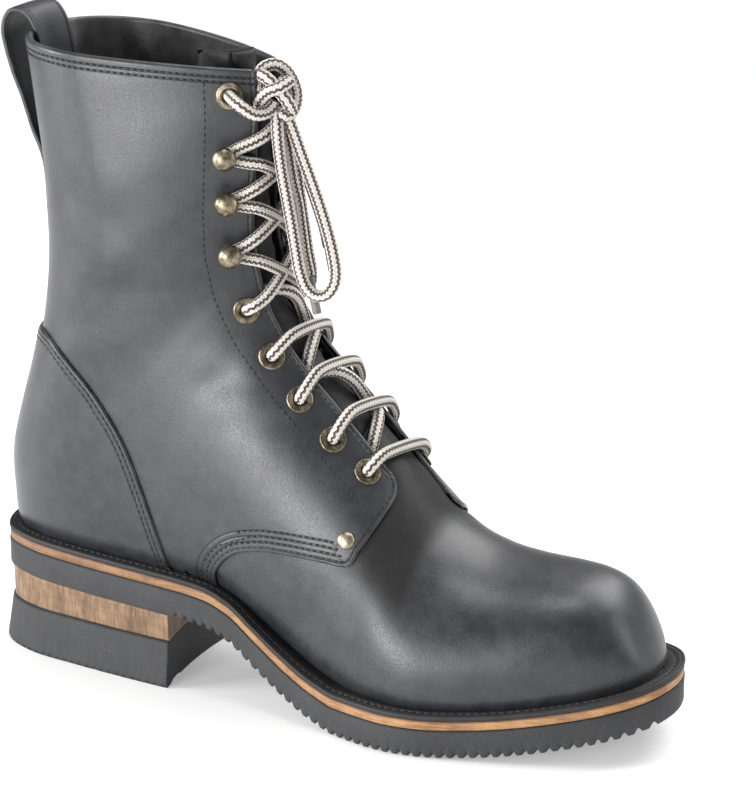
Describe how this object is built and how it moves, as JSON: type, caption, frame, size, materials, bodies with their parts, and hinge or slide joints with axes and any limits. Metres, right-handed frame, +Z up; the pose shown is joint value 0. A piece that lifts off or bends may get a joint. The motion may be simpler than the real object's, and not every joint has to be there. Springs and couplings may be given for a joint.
{
  "type": "work boot",
  "caption": "High lace-up leather work boot with a plain round toe, stacked heel, arched rubber sole, speed hooks and a back pull loop.",
  "frame": {"origin": "on the floor, under the middle of the boot's box without its free lace ends", "axes": "+X towards the toe, +Y towards the inner (medial) side, +Z up"},
  "size_m": [0.3132, 0.11, 0.2817],
  "materials": {
    "upper_leather": "smooth, semi-matte black",
    "dark_leather": "smooth, matte black",
    "midsole_leather": "cut edge, tan",
    "stack_leather": "sanded layers, brown",
    "insole_leather": "matte",
    "rubber": "matte, ribbed",
    "brass": "antique, satin",
    "lace": "round braid, cream with brown lines",
    "tip_plastic": "matte"
  },
  "bodies": {
    "root": {"outsole": "rubber", "midsole": "midsole_leather", "welt": "dark_leather", "heel_stack": "stack_leather", "heel_lift": "rubber", "upper": "upper_leather", "insole": "insole_leather", "heel_counter": "upper_leather", "tongue": "dark_leather", "pull_loop": "upper_leather", "eyelet_lateral_1": "brass", "eyelet_lateral_2": "brass", "eyelet_lateral_3": "brass", "eyelet_lateral_4": "brass", "eyelet_lateral_5": "brass", "eyelet_lateral_6": "brass", "hook_lateral_1": "brass", "hook_lateral_2": "brass", "hook_lateral_3": "brass", "rivet_lateral": "brass", "eyelet_medial_1": "brass", "eyelet_medial_2": "brass", "eyelet_medial_3": "brass", "eyelet_medial_4": "brass", "eyelet_medial_5": "brass", "eyelet_medial_6": "brass", "hook_medial_1": "brass", "hook_medial_2": "brass", "hook_medial_3": "brass", "rivet_medial": "brass", "lace_bar_1": "lace", "lace_bar_2": "lace", "lace_bar_3": "lace", "lace_bar_4": "lace", "lace_crossings": "lace", "lace_knot": "lace", "lace_lead_lateral": "lace", "lace_lead_medial": "lace", "bow_loop_front": "lace", "bow_loop_back": "lace", "lace_end_front": "lace", "lace_end_back": "lace", "lace_tip_front": "tip_plastic", "lace_tip_back": "tip_plastic"}
  },
  "joints": []
}
